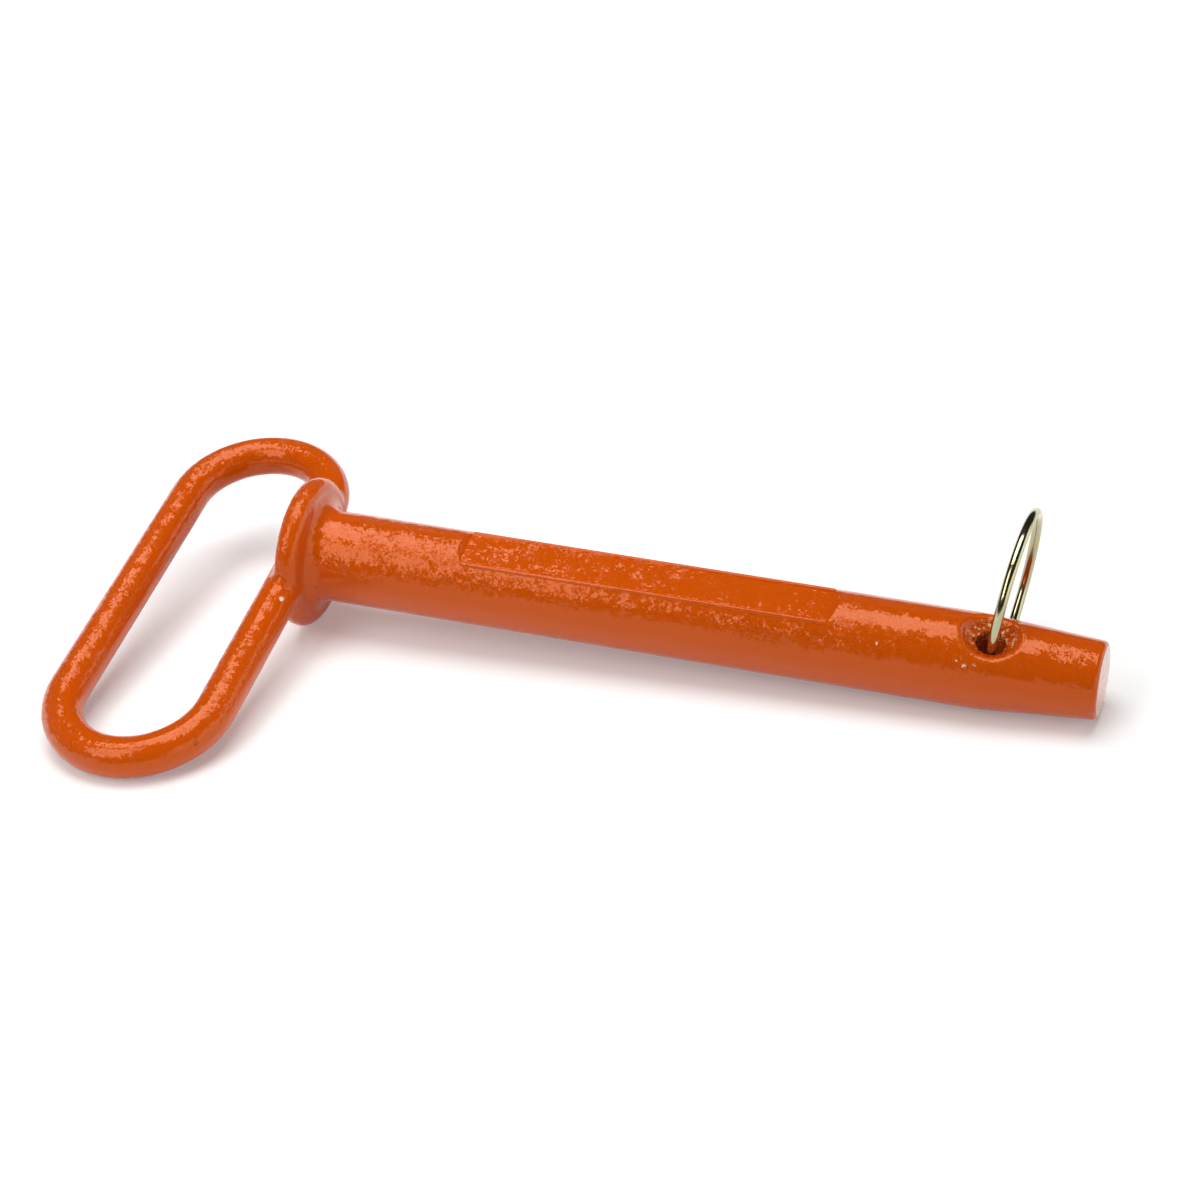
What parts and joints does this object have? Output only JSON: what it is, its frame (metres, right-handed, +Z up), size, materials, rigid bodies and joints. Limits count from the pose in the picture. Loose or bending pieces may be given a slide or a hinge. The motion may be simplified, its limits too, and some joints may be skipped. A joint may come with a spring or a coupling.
{
  "type": "hitch pin",
  "caption": "Forged drawbar hitch pin with a collar, an oblong pull handle, a tapered tip and a plated wire ring that swings in its cross hole.",
  "frame": {"origin": "on the floor, under the middle of the whole part as it lies at rest", "axes": "+X runs along the shaft from the handle to the tip, +Z is up, and the handle's long end lies towards -Y"},
  "size_m": [0.2702, 0.1306, 0.047],
  "materials": {
    "pin_paint": "glossy orange enamel over a rough forged skin",
    "ring_plating": "bright yellow zinc plating on steel wire"
  },
  "bodies": {
    "pin": {"forged_pin": "pin_paint"},
    "ring": {"lock_ring": "ring_plating"}
  },
  "joints": [
    {"name": "ring_swing", "type": "hinge", "parent": "pin", "child": "ring", "pos_m": [0.10479, 0.02334, 0.0126], "axis": [0.0419, -0.3149, 0.9482], "range_deg": [-228, 50]}
  ]
}
